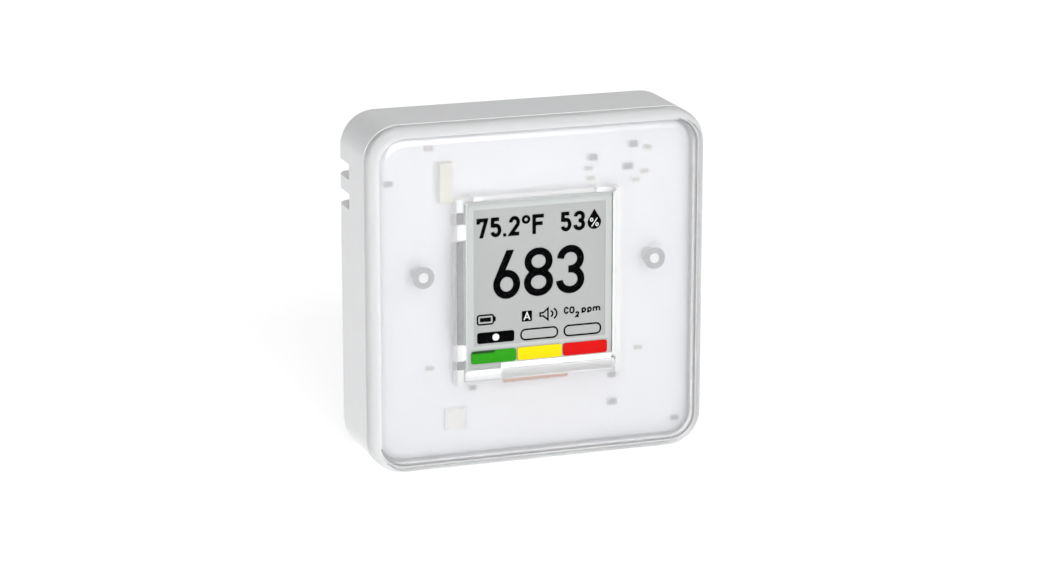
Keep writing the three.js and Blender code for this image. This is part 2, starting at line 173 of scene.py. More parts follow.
def add_node(tree, kind, settings=None, values=None, links=None):
    """Adds one node with its settings, the values of its sockets, and what is linked to them."""
    node = tree.nodes.new(kind)
    for name, value in (settings or {}).items():
        setattr(node, name, value)
    for socket, value in (values or {}).items():
        node.inputs[socket].default_value = value
    for socket, source in (links or {}).items():
        tree.links.new(source, node.inputs[socket])
    return node


def blank_material(name):
    """A new material, and its node tree without nodes."""
    material = bpy.data.materials.new(name)
    material.use_nodes = True
    material.node_tree.nodes.clear()
    return material, material.node_tree


def finish(name, colour, roughness, grain=0.2, depth=0.004, tint=0.97, spread=0.05, **shader):
    """A material with a fine surface grain, a slight change of tone and a change of gloss.

    colour is an sRGB hex value, or a colour that the user sets. grain is the size of its grain
    and depth the height of it, both in millimetres. tint is how much of the colour its darkest
    patches keep, and spread how far its roughness wanders.
    """
    if name in bpy.data.materials:
        return bpy.data.materials[name]
    colour = linear(colour) if isinstance(colour, str) else tuple(colour)
    material, tree = blank_material(name)
    place = add_node(tree, "ShaderNodeTexCoord")
    patches = add_node(
        tree, "ShaderNodeTexNoise", values={"Scale": 1 / (grain * 18 * MM), "Detail": 3.0},
        links={"Vector": place.outputs["Object"]})
    dark = tuple(c * tint for c in colour)
    tone = add_node(
        tree, "ShaderNodeMix", {"data_type": "RGBA"},
        {COLOUR_A: (*colour, 1), COLOUR_B: (*dark, 1)}, {0: patches.outputs["Fac"]})
    gloss = add_node(
        tree, "ShaderNodeMapRange", values={
            "To Min": max(roughness - spread, 0.0), "To Max": min(roughness + spread, 1.0)},
        links={"Value": patches.outputs["Fac"]})
    specks = add_node(
        tree, "ShaderNodeTexNoise", values={"Scale": 1 / (grain * MM), "Detail": 2.0},
        links={"Vector": place.outputs["Object"]})
    relief = add_node(
        tree, "ShaderNodeBump", values={"Strength": 1.0, "Distance": depth * MM},
        links={"Height": specks.outputs["Fac"]})
    values = {SOCKETS[label]: value for label, value in shader.items()}
    surface = add_node(
        tree, "ShaderNodeBsdfPrincipled", values=values, links={
            "Base Color": tone.outputs[MIXED_COLOUR], "Roughness": gloss.outputs["Result"],
            "Normal": relief.outputs["Normal"]})
    add_node(tree, "ShaderNodeOutputMaterial", links={"Surface": surface.outputs["BSDF"]})
    return material


def finishes():
    """Every finish of the monitor by a short name, made for the colours now set."""
    colours = bpy.context.scene.monitor_colours
    return {
        # Polycarbonate, moulded against a spark-eroded tool: milky, blurs what lies behind it.
        "frost": finish(
            "polycarbonate_frosted_moulded", colours.frost, 0.2, grain=0.18, depth=0.0005,
            tint=0.995, spread=0.015, transmission=0.88, ior=1.585),
        # The same resin on the cover's side walls, milkier and lighter than the front: partly the
        # deeper look along the wall, partly painted light, given more to the upper left walls.
        "frost_painted_lit": finish(
            "polycarbonate_frosted_wall", "#F4F5F6", 0.44, grain=0.18, depth=0.0008, tint=0.99,
            spread=0.02, transmission=0.5, ior=1.585),
        # The same resin in the tube of a screw boss, moulded matt: a soft milky ring.
        "boss": finish(
            "polycarbonate_boss_moulded", "#F0F1F3", 0.4, tint=0.97, transmission=0.5, ior=1.585),
        # Acrylic, moulded against a polished tool: so clear that only its edges show.
        "pane": finish(
            "acrylic_pane_polished", "#15181A", 0.05, grain=1.0, depth=0.0, tint=1.0, spread=0.02,
            alpha=0.02, ior=1.49),
        # The cover's walls round the window, polished with the pane: no line where they meet.
        "rim": finish(
            "polycarbonate_rim_polished", "#FFFFFF", 0.05, grain=1.0, depth=0.0, tint=1.0,
            spread=0.02, alpha=0.03, ior=1.49),
        # ABS, moulded with a fine matt texture: even white with a soft highlight.
        "shell": finish(
            "abs_white_moulded", colours.shell, 0.42, grain=0.22, depth=0.005, tint=0.985,
            subsurface=0.08, scatter=0.001),
        # ABS on the seam's chamfer and the vents' flat walls, glossier and painted whiter than the
        # housing: a painted highlight along the seam and painted light in the vents.
        "seam": finish(
            "abs_white_polished", "#FFFFFF", 0.25, grain=0.22, depth=0.0, tint=1.0, specular=0.8),
        # Polypropylene clips and tray, moulded: slightly waxy white.
        "holder": finish(
            "polypropylene_white_moulded", "#F6F6F4", 0.38, tint=0.98, subsurface=0.1,
            scatter=0.0008),
        # White solder mask over fibreglass, cured ink: smooth, with faint blotches.
        "board": finish(
            "solder_mask_white_cured", colours.board, 0.32, grain=0.3, depth=0.002, tint=0.985),
        # Green solder mask over fibreglass: glossy and deep.
        "green_board": finish(
            "solder_mask_green_cured", "#1F6B43", 0.3, grain=0.3, depth=0.003, tint=0.8),
        # E-paper film, laminated: dead matt grey.
        "paper": finish(
            "epaper_film_laminated", colours.paper, 0.62, grain=0.12, depth=0.001, tint=0.985,
            specular=0.1),
        # Thin glass of the panel's border, ground edge: pale green grey.
        "glass": finish("display_glass_float", "#B4B8B7", 0.3, tint=0.98, specular=0.2),
        # Pigment switched to the front of the film: flat black.
        "ink": finish("epaper_pigment_black", colours.ink, 0.8, tint=0.9, specular=0.0),
        # Pigment switched to the back: the brightest patch on the film.
        "blank": finish("epaper_pigment_white", "#D6D8D8", 0.65, tint=0.98, specular=0.1),
        "dot": finish("epaper_pigment_bright", "#EFF1F1", 0.65, tint=0.98, specular=0.1),
        # A dark green strip across the top of the green bar's left end: matt.
        "dark_strip": finish("screen_ink_dark_green", "#1E3F1B", 0.6, tint=0.9, specular=0.1),
        # Screen-printed inks behind the pane: even, saturated, semi-matt.
        "green": finish("screen_ink_green", colours.good, 0.6, tint=0.93, specular=0.1),
        "yellow": finish("screen_ink_yellow", colours.fair, 0.6, tint=0.97, specular=0.1),
        "red": finish("screen_ink_red", colours.poor, 0.6, tint=0.93, specular=0.1),
        # Soft grey painted shade: on the inward faces of the ring inside the cover's walls, on the
        # screw bosses' front rings and on the strips left of the display tray.
        "painted_shade": finish("silicone_gasket_moulded", "#96999D", 0.6, tint=0.95),
        # Dark grey strips beside the tray: painted shade where the tray's left wall lies in
        # shadow.
        "dark_painted_shade": finish("polyurethane_foam_cut", "#2A2B2E", 0.9, grain=0.3, depth=0.02, tint=0.85),
        # Acetate tape, coated: bright satin white.
        "tape": finish("acetate_tape_coated", "#F5F7F7", 0.5, tint=0.99, specular=0.2),
        # Polyimide flex with etched copper under it: amber.
        "flex": finish("polyimide_flex_etched", "#C46A08", 0.35, grain=0.4, tint=0.8, coat=0.3),
        # Glass-filled nylon and epoxy packages, moulded: dark and dull.
        "black": finish("nylon_black_moulded", "#1C1D1F", 0.5, grain=0.1, depth=0.004, tint=0.8),
        "package": finish("epoxy_package_moulded", "#2B2C30", 0.55, grain=0.1, tint=0.85),
        # Resin of chip resistors, moulded: mid grey, as the frosting blurs it.
        "chip": finish("chip_resin_grey_moulded", "#8B8D91", 0.5, grain=0.1, tint=0.9),
        # Barium titanate chips, sintered: tan ceramic.
        "tan": finish("chip_ceramic_tan_sintered", "#C8C4BC", 0.45, grain=0.1, tint=0.85),
        # Resin of the storage capacitor, moulded: pale straw.
        "resin": finish("capacitor_resin_moulded", "#EDEBDD", 0.5, grain=0.15, tint=0.9),
        # Alumina, fired: off-white and even.
        "ceramic": finish("alumina_fired", "#F0EFE9", 0.4, tint=0.96),
        # Ferrite core, pressed and fired: charcoal with a grainy face.
        "ferrite": finish("ferrite_pressed", "#35363A", 0.6, grain=0.12, depth=0.01, tint=0.8),
        # Spring steel and brass, nickel plated: bright, with soft streaks.
        "nickel": finish(
            "steel_nickel_plated", "#C4C5C4", 0.28, grain=0.15, depth=0.001, tint=0.93,
            metallic=1.0),
        # Tinned steel sheet, formed into cans: soft mirror.
        "tin": finish(
            "steel_sheet_tinned", "#B9BBBD", 0.34, grain=0.25, depth=0.002, tint=0.9,
            metallic=1.0),
        # Zinc-plated steel screws, rolled: duller grey.
        "zinc": finish(
            "steel_screw_zinc_plated", "#8F9296", 0.38, grain=0.15, depth=0.003, tint=0.88,
            metallic=1.0),
        # Solder, reflowed: bright and slightly lumpy.
        "solder": finish(
            "solder_reflowed", "#C9CBCD", 0.25, grain=0.3, depth=0.006, tint=0.9, metallic=1.0),
        # Porous membrane over the sensor, sintered PTFE: chalky white.
        "membrane": finish(
            "ptfe_membrane_sintered", "#FAFAFA", 0.9, grain=0.12, depth=0.012, tint=0.96),
        # Label paper, coated: flat white.
        "label": finish("label_paper_coated", "#F7F7F5", 0.7, grain=0.25, depth=0.002, tint=0.98),
        # Grey ink, printed in fine rules: dull and even.
        "print": finish("label_ink_grey", "#8D9092", 0.7, tint=0.92),
        "sleeve": sleeve_finish(),
    }


def sleeve_finish():
    """PVC sleeve shrunk on the cells, printed: a dark can with a copper band at its nub end."""
    name = "pvc_sleeve_shrunk"
    if name in bpy.data.materials:
        return bpy.data.materials[name]
    material, tree = blank_material(name)
    band = add_node(tree, "ShaderNodeVertexColor", {"layer_name": "band"})
    place = add_node(tree, "ShaderNodeTexCoord")
    wear = add_node(
        tree, "ShaderNodeTexNoise", values={"Scale": 1 / (3 * MM), "Detail": 4.0},
        links={"Vector": place.outputs["Object"]})
    tone = add_node(
        tree, "ShaderNodeMix", {"data_type": "RGBA"},
        {COLOUR_A: (*linear("#27323D"), 1), COLOUR_B: (*linear("#303D4A"), 1)},
        {0: wear.outputs["Fac"]})
    banded = add_node(
        tree, "ShaderNodeMix", {"data_type": "RGBA"}, {COLOUR_B: (*linear("#B5713C"), 1)},
        {0: band.outputs["Color"], COLOUR_A: tone.outputs[MIXED_COLOUR]})
    surface = add_node(
        tree, "ShaderNodeBsdfPrincipled", values={"Roughness": 0.3, "Coat Weight": 0.4},
        links={"Base Color": banded.outputs[MIXED_COLOUR]})
    add_node(tree, "ShaderNodeOutputMaterial", links={"Surface": surface.outputs["BSDF"]})
    return material


# ---------------------------------------------------------------- shapes


def bevel(bm, edges, width, segments=3):
    """Rounds these edges."""
    bmesh.ops.bevel(
        bm, geom=edges, offset=width, segments=segments, profile=0.5, material=-1,
        affect="EDGES", clamp_overlap=True)


def flat_edges(bm, depth):
    """The edges that lie wholly at one depth."""
    return [e for e in bm.edges if all(abs(v.co.y - depth) < NEAR for v in e.verts)]


def upper_edges(bm, depth):
    """The outline's edges at one depth, along the top and round most of the upper corners."""
    return [e for e in flat_edges(bm, depth) if all(v.co.z > UPPER_Z for v in e.verts)]


def box(low, high):
    """A plain block between two corners."""
    bm = bmesh.new()
    bmesh.ops.create_cube(bm, size=1)
    size = [b - a for a, b in zip(low, high)]
    middle = [(a + b) / 2 for a, b in zip(low, high)]
    bmesh.ops.scale(bm, vec=size, verts=bm.verts)
    bmesh.ops.translate(bm, vec=middle, verts=bm.verts)
    return bm


def tablet(middle, size, front, back, corner, front_round=0.0, back_round=0.0, segments=12):
    """A block whose outline from the front has rounded corners, with rounds front and back."""
    x, z = middle
    width, height = size
    bm = box((x - width / 2, front, z - height / 2), (x + width / 2, back, z + height / 2))
    if corner:
        along = [e for e in bm.edges if abs(e.verts[0].co.y - e.verts[1].co.y) > NEAR]
        bevel(bm, along, corner, segments)
    if front_round:
        bevel(bm, flat_edges(bm, front), front_round, segments)
    if back_round:
        bevel(bm, flat_edges(bm, back), back_round, segments)
    return bm


def square(size, *rest, **more):
    """A tablet that is as wide as it is high, round the middle of the case."""
    return tablet((0, MID_Z), (size, size), *rest, **more)


def peg(x, z, radius, front, back, sides=40):
    """A round peg along Y."""
    bm = bmesh.new()
    middle = Matrix.Translation((x, (front + back) / 2, z))
    bmesh.ops.create_cone(
        bm, cap_ends=True, segments=sides, radius1=radius, radius2=radius, depth=back - front,
        matrix=middle @ Matrix.Rotation(-math.pi / 2, 4, "X"))
    return bm


def tube(x, radius, bore, front, back):
    """A round tube along Y, at the height of the screw bosses."""
    return carve(peg(x, BOSS_Z, radius, front, back), peg(x, BOSS_Z, bore, -THROUGH, THROUGH))


def turned(profile):
    """A closed round body: (radius, height) pairs turned about Z."""
    bm = bmesh.new()
    verts = [bm.verts.new((radius, 0, height)) for radius, height in profile]
    edges = [bm.edges.new(pair) for pair in zip(verts, verts[1:])]
    bmesh.ops.spin(
        bm, geom=verts + edges, cent=(0, 0, 0), axis=(0, 0, 1), angle=2 * math.pi, steps=64,
        use_merge=True)
    bmesh.ops.remove_doubles(bm, verts=bm.verts, dist=NEAR)
    bmesh.ops.recalc_face_normals(bm, faces=bm.faces)
    return bm


def join(*parts):
    """Several meshes as one, and the parts freed."""
    whole = bmesh.new()
    for part in parts:
        mesh = bpy.data.meshes.new("part")
        part.to_mesh(mesh)
        whole.from_mesh(mesh)
        bpy.data.meshes.remove(mesh)
        part.free()
    return whole


def loose_object(name, bm):
    """A new object from a bmesh, which is freed."""
    mesh = bpy.data.meshes.new(name)
    bm.to_mesh(mesh)
    bm.free()
    made = bpy.data.objects.new(name, mesh)
    bpy.context.scene.collection.objects.link(made)
    return made


def settle(made):
    """Applies an object's modifiers to its mesh."""
    bpy.context.view_layer.update()
    graph = bpy.context.evaluated_depsgraph_get()
    mesh = bpy.data.meshes.new_from_object(made.evaluated_get(graph))
    old = made.data
    made.modifiers.clear()
    made.data = mesh
    mesh.name = made.name
    bpy.data.meshes.remove(old)


def carve(bm, *cutters):
    """A bmesh with the cutters' shapes taken out of it."""
    body = loose_object("blank", bm)
    tools = [loose_object("cutter", cutter) for cutter in cutters]
    for tool in tools:
        cut = body.modifiers.new("cut", "BOOLEAN")
        cut.object = tool
        cut.operation = "DIFFERENCE"
        cut.solver = "EXACT"
    settle(body)
    out = bmesh.new()
    out.from_mesh(body.data)
    for spare in [body, *tools]:
        mesh = spare.data
        bpy.data.objects.remove(spare)
        bpy.data.meshes.remove(mesh)
    return out


def piece(name, bm, look, replaced=(), edge=0.0, body="case", scale=MM, smooth=35):
    """Finishes one visible piece: broken edges, shading, material, the body it rides on."""
    if not bm.faces:
        raise RuntimeError(f"{name} has no faces")
    bmesh.ops.scale(bm, vec=(scale,) * 3, verts=bm.verts)
    made = loose_object(name, bm)
    if edge:
        round_off = made.modifiers.new("edge", "BEVEL")
        round_off.width = edge * MM
        round_off.segments = 2
        round_off.limit_method = "ANGLE"
        round_off.angle_limit = math.radians(40)
        settle(made)
    made.data.shade_smooth()
    made.data.set_sharp_from_angle(angle=math.radians(smooth))
    even = made.modifiers.new("even", "WEIGHTED_NORMAL")
    even.keep_sharp = True
    settle(made)
    made.data.materials.clear()
    made.data.materials.append(finishes()[look])
    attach(made, body)
    if replaced:
        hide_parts(*replaced)
    return made


def refinish(made, look, chosen):
    """Gives a second finish to the faces whose middle, in millimetres, and normal are chosen."""
    made.data.materials.append(finishes()[look])
    index = len(made.data.materials) - 1
    for face in made.data.polygons:
        if chosen(*(value / MM for value in face.center), face.normal):
            face.material_index = index


def softened(name, look, edge):
    """A CAD node's shape, merged and with its hard edges broken, in the node's place."""
    node = frame["nodes"][name]
    bm = bmesh.new()
    bm.from_mesh(node.data)
    bmesh.ops.remove_doubles(bm, verts=bm.verts, dist=NEAR * MM * 20)
    bmesh.ops.dissolve_limit(bm, angle_limit=math.radians(0.5), verts=bm.verts, edges=bm.edges)
    body = body_of(node)[0]
    return piece(f"{name}_finished", bm, look, (name,), edge, body, 1.0)


# ---------------------------------------------------------------- the two shells and the pane


class MONITOR_OT_front_cover(bpy.types.Operator):
    """Builds the frosted front cover and its two screw bosses"""

    bl_idname = "monitor.front_cover"
    bl_label = "Front cover"

    def execute(self, context):
        sizes = context.scene.monitor_sizes
        corner = sizes.corner / MM
        front_round = sizes.front_round / MM
        outer = square(2 * (HALF - COVER_INSET), FRONT_Y, COVER_SEAM, corner - COVER_INSET,
                       front_round, segments=20)
        bevel(outer, upper_edges(outer, COVER_SEAM), 0.55, 3)
        hollow = square(INSIDE, FRONT_Y + WALL, 0, corner - WALL, front_round - WALL, segments=16)
        rebate = square(68.4, -8.0, 0, corner - 0.8)
        window = tablet(WINDOW_MID, WINDOW_SIZE, FRONT_Y - 1, 0, 0.6)
        cover = piece("front_cover_shell", carve(outer, hollow, rebate, window), "frost",
                      ("front_cover",), edge=0.08)
        # A thin white ring just inside the cover's walls, its inward faces grey: painted shade of
        # the walls' shaded inner faces, seen through the front.
        painted_shade = carve(square(65.9, -9.6, -6.85, corner - 2.05),
                       square(65.5, -THROUGH, 0, corner - 2.25))
        painted_shade = piece("cover_wall_shade_ring", painted_shade, "holder")
        refinish(painted_shade, "painted_shade",
                 lambda x, y, z, normal: normal.dot(Vector((x, 0, z - MID_Z))) < -1)

        def window_wall(x, y, z, normal):
            away_x = abs(x) - WINDOW_SIZE[0] / 2
            away_z = abs(z - WINDOW_MID[1]) - WINDOW_SIZE[1] / 2
            near = max(away_x, away_z) < 0.1 and (abs(away_x) < 0.1 or abs(away_z) < 0.1)
            return near and FRONT_Y + 0.01 < y < FRONT_Y + WALL - 0.01

        # Painted light: walls facing up and to the left take the lighter milky finish further
        # round the front round than walls facing down and to the right.
        def painted_lit_wall(x, y, z, normal):
            away = Vector((x, 0, z - MID_Z)).normalized()
            upper_left = min(max((z - MID_Z - x) / SIDE_WAY, -1), 1)
            return normal.dot(away) > 0.05 and normal.y > -SIDE_TURN - SIDE_SHIFT * upper_left

        refinish(cover, "rim", window_wall)
        refinish(cover, "frost_painted_lit", painted_lit_wall)
        behind = FRONT_Y + WALL + 0.03  # just behind the cover's inner face
        for name, side in SIDES:
            x = side * BOSS_X
            piece(f"screw_boss_{name}", tube(x, 1.5, 1.05, behind + 0.22, BOARD_FRONT - 0.3),
                  "boss", edge=0.1)
            # A grey ring at each boss's front end: painted shade for the dark ring that refraction
            # in the boss's wall shows through the cover.
            piece(f"screw_boss_shade_ring_{name}", tube(x, 2.2, 1.05, behind, behind + 0.17), "painted_shade",
                  edge=0.04)
            piece(f"screw_boss_core_{name}", peg(x, BOSS_Z, 1.0, behind, behind + 0.52), "holder",
                  edge=0.1)
        return {"FINISHED"}


class MONITOR_OT_window(bpy.types.Operator):
    """Builds the clear pane over the display"""

    bl_idname = "monitor.window"
    bl_label = "Window"

    def execute(self, context):
        clearance = 0.04
        size = tuple(length - clearance for length in WINDOW_SIZE)
        pane = tablet(WINDOW_MID, size, FRONT_Y, FRONT_Y + 1.5, 0.58)
        piece("display_pane", pane, "pane", ("display_window",))
        return {"FINISHED"}


class MONITOR_OT_rear_housing(bpy.types.Operator):
    """Builds the rear housing: its ring, vents, web, deck, cell bay and screw posts"""

    bl_idname = "monitor.rear_housing"
    bl_label = "Rear housing"

    def execute(self, context):
        sizes = context.scene.monitor_sizes
        corner = sizes.corner / MM
        within = INSIDE - 0.02
        outer = square(2 * HALF, HOUSING_SEAM, REAR_Y, corner, 0, sizes.rear_round / MM,
                       segments=20)
        bevel(outer, upper_edges(outer, HOUSING_SEAM), sizes.seam_chamfer / MM, 1)
        hollow = square(INSIDE, -THROUGH, 9.4, corner - WALL, segments=16)
        opening = square(62.6, 0, THROUGH, 3.7)
        vents = [box((side * 33.5 - 2.5, 3.0, z - 1.6), (side * 33.5 + 2.5, THROUGH, z + 1.6))
                 for _, side in SIDES for z in VENTS_Z]
        ring = piece("housing_ring", carve(outer, hollow, opening, *vents), "shell",
                     ("rear_housing",), edge=sizes.edge_break / MM)

        # Painted highlight and light: the seam's chamfer and the vents' flat faces take the whiter
        # finish.
        def painted_bright(x, y, z, normal):
            chamfer = -0.8 < normal.y < -0.6 and y < HOUSING_SEAM + 1
            in_vents = VENTS_Z[0] - 2 < z < VENTS_Z[1] + 2 and abs(x) < HALF - 0.1
            return chamfer or in_vents and abs(normal.z) > 0.9

        refinish(ring, "seam", painted_bright)
        lip = carve(square(67.8, -7.6, -6.0, corner - 1.1),
                    square(INSIDE + 0.02, -THROUGH, 0, corner - WALL))
        web = tablet((0, 22.8), (within, 44), -5.0, -4.2, corner - WALL)
        web = carve(web, *(peg(side * BOSS_X, BOSS_Z, SCREW_HOLE, -THROUGH, THROUGH)
                           for _, side in SIDES))
        gaps = [box((-17.45, -5, 44.75), (17.45, 5, 65.65)),
                peg(-25, 61.2, 1.4, -5, 5), peg(-25, 50.6, 1.2, -5, 5)]
        gaps += [box((22.3, -5, z - 1), (26.9, 5, z + 1)) for z in (47.6, 52.2, 56.8)]
        deck = carve(tablet((0, 56), (within, 25.3), -1.7, -0.9, corner - WALL), *gaps)
        for name, wall in (("lip", lip), ("web", web), ("deck", deck)):
            piece(f"housing_{name}", wall, "shell", edge=0.08)

        bay = [box((-32.98, -5.0, 44.0), (32.98, -0.9, 44.8))]
        bay += [box((side * 28.8 - 0.6, -5.0, 1.9), (side * 28.8 + 0.6, 9.9, 35.1))
                for _, side in SIDES]
        bay += [box((-28.3, -5.0, 33.9), (28.3, 9.9, 35.1)),
                box((-24, -5.0, 18.2), (24, -0.8, 19))]
        for index, wall in enumerate(bay):
            piece(f"cell_bay_wall_{index + 1}", wall, "shell", edge=0.15)
        for name, side in SIDES:
            post = tube(side * BOSS_X, 3.2, SCREW_HOLE, -4.9, -2.6)
            piece(f"screw_post_{name}", post, "shell", edge=0.12)
        return {"FINISHED"}


class MONITOR_OT_rear_cover(bpy.types.Operator):
    """Builds the snap-off rear cover with its keyhole, vents, finger notch, tabs and label"""

    bl_idname = "monitor.rear_cover"
    bl_label = "Rear cover"

    def execute(self, context):
        plate = square(62, 10.7, REAR_Y, 3.4)
        label_mid = (0, 22)
        cuts = [
            peg(0, 52, 4.4, 5, THROUGH), peg(0, 59, 2.1, 5, THROUGH),
            box((-2.1, 5, 52), (2.1, THROUGH, 59)), peg(0, -0.2, 7, 5, THROUGH, sides=64),
            tablet(label_mid, (40.4, 20.4), REAR_Y - 0.35, THROUGH, 1.4),
        ]
        cuts += [tablet((side * 18, 45 + row * 4), (10, 1.6), 5, THROUGH, 0.75)
                 for _, side in SIDES for row in range(4)]
        piece("rear_cover_plate", carve(plate, *cuts), "shell", ("rear_cover",),
              edge=0.2, body="rear_cover")
        for name, side in SIDES:
            for level, z in (("low", 20), ("high", 48)):
                tab = box((side * 30.4 - 0.5, 8.3, z - 4), (side * 30.4 + 0.5, 10.8, z + 4))
                piece(f"cover_tab_{name}_{level}", tab, "shell", edge=0.15,
                      body="rear_cover")
        label = tablet(label_mid, (40, 20), REAR_Y - 0.2, REAR_Y, 1.2)
        piece("rear_label_sheet", label, "label", ("rear_label",), edge=0.03,
              body="rear_cover")
        rules = []
        for row, reach in ((2, 17), (1, 6), (0, 17), (-1, 9), (-2, 17)):
            z = label_mid[1] + row * 3.2
            rules.append(box((-17, REAR_Y - 0.01, z - 0.2), (reach, REAR_Y, z + 0.2)))
        piece("rear_label_rules", join(*rules), "print", body="rear_cover")
        return {"FINISHED"}


# ---------------------------------------------------------------- display


def arc(cx, cz, rx, rz, start, end, steps=24):
    """Points along part of an ellipse, between two angles in degrees."""
    turns = [math.radians(start + (end - start) * i / steps) for i in range(steps + 1)]
    return [(cx + rx * math.cos(t), cz + rz * math.sin(t)) for t in turns]


INK_THICK = 0.02
TURN_NEAR = 0.03


def eased(points, closed):
    """The same line with a point just before and just after each sharp turn."""
    count = len(points)
    line = []
    for i, (x, z) in enumerate(points):
        ends = not closed and i in (0, count - 1)
        before, after = Vector(points[i - 1]), Vector(points[(i + 1) % count])
        here = Vector((x, z))
        into, out = here - before, after - here
        if ends or into.angle(out, 0.0) < math.radians(20):
            line.append((x, z))
            continue
        line += [tuple(here - into.normalized() * TURN_NEAR), (x, z),
                 tuple(here + out.normalized() * TURN_NEAR)]
    return line


def ribbon(points, width, closed=False):
    """A flat stroke of this width through points given in X and Z, as a bmesh."""
    curve = bpy.data.curves.new("stroke", "CURVE")
    curve.dimensions = "2D"
    curve.fill_mode = "NONE"
    curve.bevel_depth = width / 2
    curve.bevel_resolution = 2
    curve.use_fill_caps = True
    line = eased(points, closed)
    spline = curve.splines.new("POLY")
    spline.points.add(len(line) - 1)
    for point, (x, z) in zip(spline.points, line):
        point.co = (x, z, 0, 1)
    spline.use_cyclic_u = closed
    bm = curve_mesh(curve)
    bmesh.ops.rotate(
        bm, cent=(0, 0, 0), matrix=Matrix.Rotation(math.pi / 2, 3, "X"), verts=bm.verts)
    bmesh.ops.scale(bm, vec=(1, INK_THICK / width, 1), verts=bm.verts)
    bmesh.ops.translate(bm, vec=(0, INK_Y, 0), verts=bm.verts)
    return bm


def filled(points, front=INK_Y - INK_THICK / 2, thick=INK_THICK):
    """A thin plate whose outline from the front goes through these points, as a bmesh."""
    bm = bmesh.new()
    face = bm.faces.new([bm.verts.new((x, front, z)) for x, z in points])
    grown = bmesh.ops.extrude_face_region(bm, geom=[face])
    verts = [g for g in grown["geom"] if isinstance(g, bmesh.types.BMVert)]
    bmesh.ops.translate(bm, vec=(0, thick, 0), verts=verts)
    bmesh.ops.recalc_face_normals(bm, faces=bm.faces)
    return bm


def rounded_outline(left, right, low, high, radius, steps=8):
    """Points round a rectangle with rounded corners."""
    corners = ((right, high, 0), (left, high, 90), (left, low, 180), (right, low, 270))
    points = []
    for x, z, start in corners:
        cx = x - radius if x == right else x + radius
        cz = z - radius if z == high else z + radius
        points += arc(cx, cz, radius, radius, start, start + 90, steps)
    return points


def clipped(bm, low, high):
    """Cuts a glyph off flat at two heights."""
    for level, normal in ((low, (0, 0, -1)), (high, (0, 0, 1))):
        cut = bmesh.ops.bisect_plane(
            bm, geom=bm.verts[:] + bm.edges[:] + bm.faces[:], dist=1e-5, plane_co=(0, 0, level),
            plane_no=normal, clear_outer=True)
        rim = [g for g in cut["geom_cut"] if isinstance(g, bmesh.types.BMEdge)]
        bmesh.ops.edgenet_fill(bm, edges=[e for e in rim if e.is_boundary])
    return bm


# Each glyph is the middle line of its strokes in a unit square, left to right and bottom to top.
GLYPHS = {
    "2": [arc(0.5, 0.71, 0.5, 0.29, 178, -28) + [(0.03, 0.0), (1.15, 0.0)]],
    "3": [arc(0.51, 0.753, 0.467, 0.247, 176, -90) + [(0.41, 0.506)],
          arc(0.5, 0.253, 0.5, 0.253, 90, -178)],
    "5": [[(0.95, 1.0), (0.1, 1.0), (0.07, 0.50)], arc(0.5, 0.31, 0.5, 0.31, 138, -160)],
    "6": [arc(0.5, 0.265, 0.5, 0.265, 0, 360), [(0.09, 0.42), (0.28, 0.64), (0.753, 1.165)]],
    "7": [[(0.0, 0.76), (0.0, 1.0), (1.0, 1.0), (0.3, -0.2)]],
    "8": [arc(0.5, 0.759, 0.474, 0.247, 0, 360), arc(0.5, 0.253, 0.5, 0.253, 0, 360)],
    "F": [[(0.0, -0.2), (0.0, 1.0), (1.15, 1.0)], [(0.0, 0.53), (1.0, 0.53)]],
    "C": [arc(0.5, 0.68, 0.5, 0.32, 0, 180) + arc(0.5, 0.32, 0.5, 0.32, 180, 360)],
    "O": [arc(0.5, 0.68, 0.5, 0.32, 0, 180) + arc(0.5, 0.32, 0.5, 0.32, 180, 360) + [(1.0, 0.68)]],
    "p": [[(0.0, -0.35), (0.0, 1.0)], arc(0.5, 0.5, 0.5, 0.5, 0, 360)],
    "m": [[(0.0, -0.1), (0.0, 1.0)], arc(0.25, 0.7, 0.25, 0.3, 180, 0) + [(0.5, -0.1)],
          arc(0.75, 0.7, 0.25, 0.3, 180, 0) + [(1.0, -0.1)]],
}


def glyph(character, left, right, low, high, stroke, clip=True):
    """One character whose outer edges lie in this rectangle."""
    half = stroke / 2
    wide = right - left - stroke
    tall = high - low - stroke
    parts = []
    for line in GLYPHS[character]:
        closed = math.dist(line[0], line[-1]) < NEAR
        points = [(left + half + u * wide, low + half + v * tall) for u, v in line]
        parts.append(ribbon(points[:-1] if closed else points, stroke, closed))
    whole = join(*parts)
    return clipped(whole, low, high) if clip else whole


